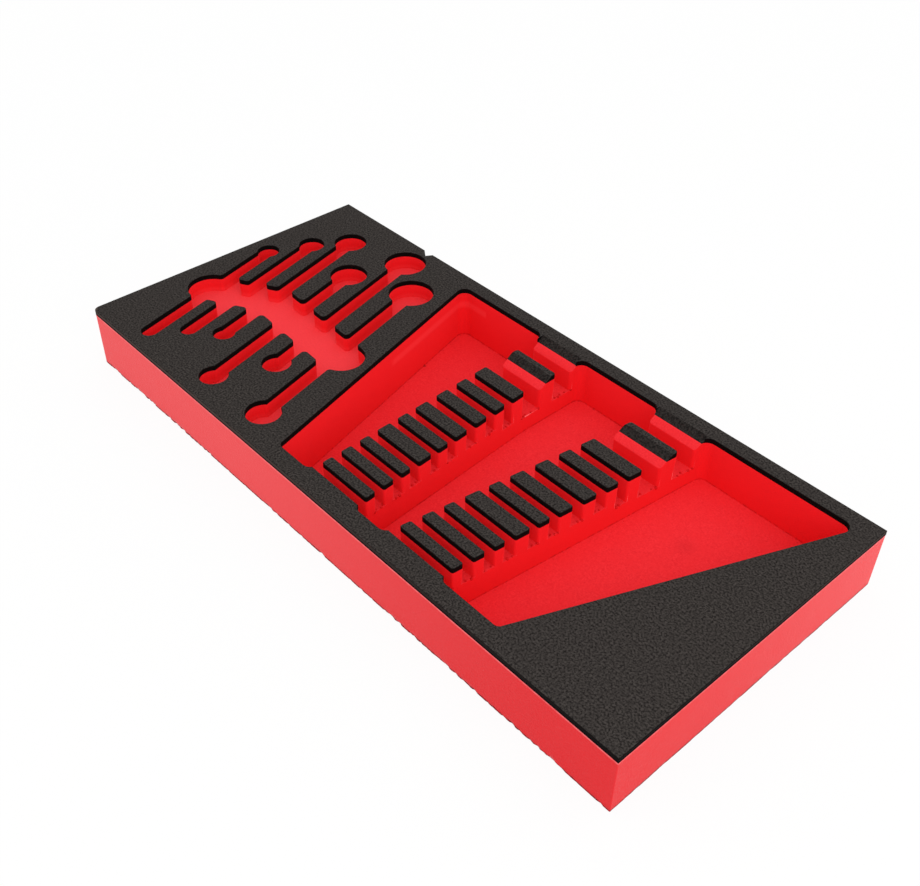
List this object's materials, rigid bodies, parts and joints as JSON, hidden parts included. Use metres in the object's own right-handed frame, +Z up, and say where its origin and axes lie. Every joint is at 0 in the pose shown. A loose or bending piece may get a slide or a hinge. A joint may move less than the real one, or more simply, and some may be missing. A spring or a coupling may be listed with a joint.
{
  "type": "foam tool drawer insert",
  "caption": "Two-tone routed foam drawer insert: red base with a black skin, slanted spanner pockets and two capped combs that hold combination spanners.",
  "frame": {"origin": "centre of the footprint on the underside, where the insert rests in its drawer", "axes": "+X along the long side towards the plain right-hand corner, +Y towards the long side with the small notch, +Z up out of the drawer"},
  "size_m": [0.408, 0.188, 0.037],
  "materials": {
    "red_foam": "matte closed-cell polyethylene foam, sawn and routed",
    "black_foam": "matte fine-celled closed-cell foam skin"
  },
  "bodies": {
    "root": {"foam_base": "red_foam", "top_skin": "black_foam", "left_cap_01": "black_foam", "left_cap_02": "black_foam", "left_cap_03": "black_foam", "left_cap_04": "black_foam", "left_cap_05": "black_foam", "left_cap_06": "black_foam", "left_cap_07": "black_foam", "left_cap_08": "black_foam", "left_cap_09": "black_foam", "left_cap_10": "black_foam", "right_cap_01": "black_foam", "right_cap_02": "black_foam", "right_cap_03": "black_foam", "right_cap_04": "black_foam", "right_cap_05": "black_foam", "right_cap_06": "black_foam", "right_cap_07": "black_foam", "right_cap_08": "black_foam", "right_cap_09": "black_foam", "right_cap_10": "black_foam"}
  },
  "joints": []
}
